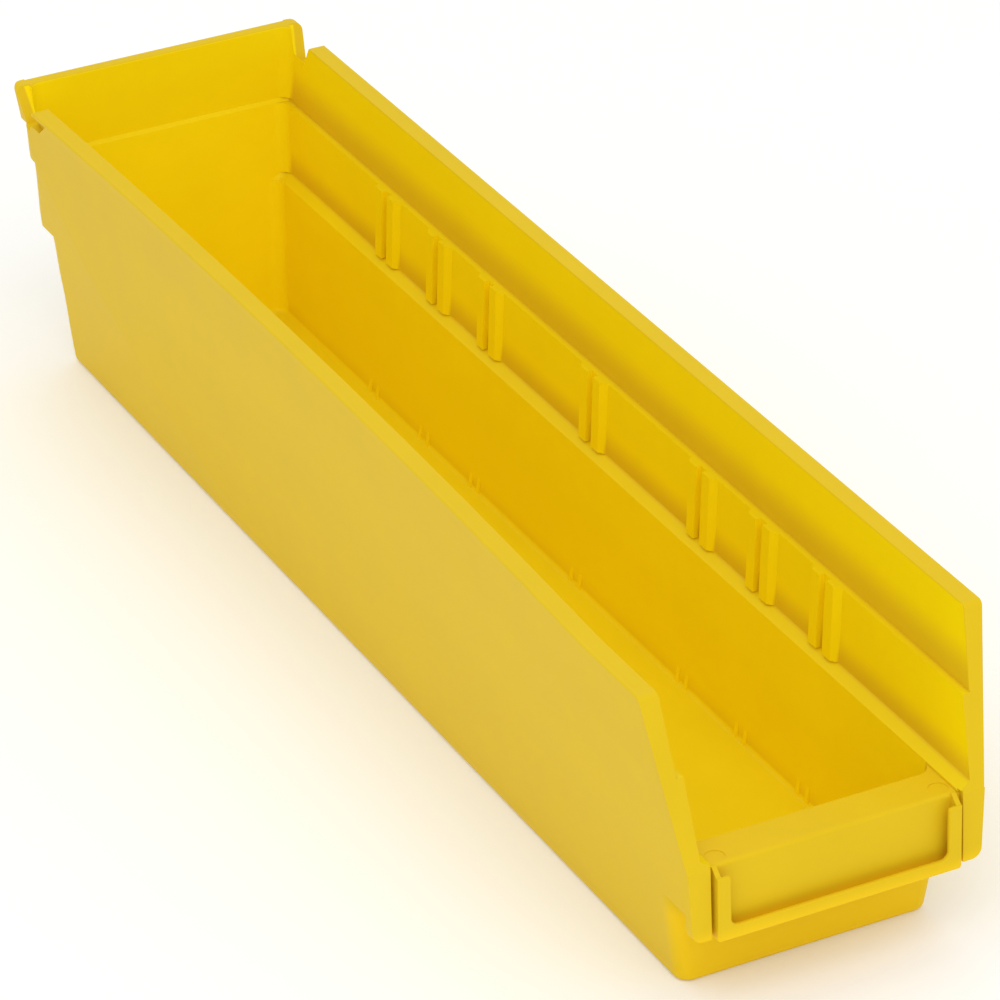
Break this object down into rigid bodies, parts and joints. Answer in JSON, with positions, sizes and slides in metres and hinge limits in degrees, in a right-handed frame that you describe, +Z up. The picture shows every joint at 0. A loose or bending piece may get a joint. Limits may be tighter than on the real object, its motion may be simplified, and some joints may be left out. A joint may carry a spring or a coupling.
{
  "type": "storage bin",
  "caption": "Long, narrow moulded plastic shelf bin with a low hopper front, label holder, stepped side walls, divider slots and a rear hang lip.",
  "frame": {"origin": "middle of the bin's footprint at floor level", "axes": "+X to the bin's right seen from the front, +Y from the hopper front to the rear lip, +Z up"},
  "size_m": [0.1058, 0.4541, 0.101],
  "materials": {
    "bin_plastic": "yellow moulded polypropylene, satin"
  },
  "bodies": {
    "root": {"floor_plate": "bin_plastic", "side_wall_left": "bin_plastic", "side_wall_right": "bin_plastic", "rear_wall": "bin_plastic", "front_foot_wall": "bin_plastic", "front_ledge": "bin_plastic", "label_panel": "bin_plastic", "front_pillar_left": "bin_plastic", "front_pillar_right": "bin_plastic", "label_rail_bottom": "bin_plastic", "label_rail_left": "bin_plastic", "label_rail_right": "bin_plastic", "hang_lip_panel": "bin_plastic", "hang_lip_flange_left": "bin_plastic", "hang_lip_flange_right": "bin_plastic", "divider_rib_left_1_rear": "bin_plastic", "divider_rib_left_1_front": "bin_plastic", "divider_rib_left_2_rear": "bin_plastic", "divider_rib_left_2_front": "bin_plastic", "divider_rib_left_3_rear": "bin_plastic", "divider_rib_left_3_front": "bin_plastic", "divider_rib_left_4_rear": "bin_plastic", "divider_rib_left_4_front": "bin_plastic", "divider_rib_left_5_rear": "bin_plastic", "divider_rib_left_5_front": "bin_plastic", "divider_rib_left_6_rear": "bin_plastic", "divider_rib_left_6_front": "bin_plastic", "divider_rib_left_7_rear": "bin_plastic", "divider_rib_left_7_front": "bin_plastic", "divider_rib_right_1_rear": "bin_plastic", "divider_rib_right_1_front": "bin_plastic", "divider_rib_right_2_rear": "bin_plastic", "divider_rib_right_2_front": "bin_plastic", "divider_rib_right_3_rear": "bin_plastic", "divider_rib_right_3_front": "bin_plastic", "divider_rib_right_4_rear": "bin_plastic", "divider_rib_right_4_front": "bin_plastic", "divider_rib_right_5_rear": "bin_plastic", "divider_rib_right_5_front": "bin_plastic", "divider_rib_right_6_rear": "bin_plastic", "divider_rib_right_6_front": "bin_plastic", "divider_rib_right_7_rear": "bin_plastic", "divider_rib_right_7_front": "bin_plastic"}
  },
  "joints": []
}
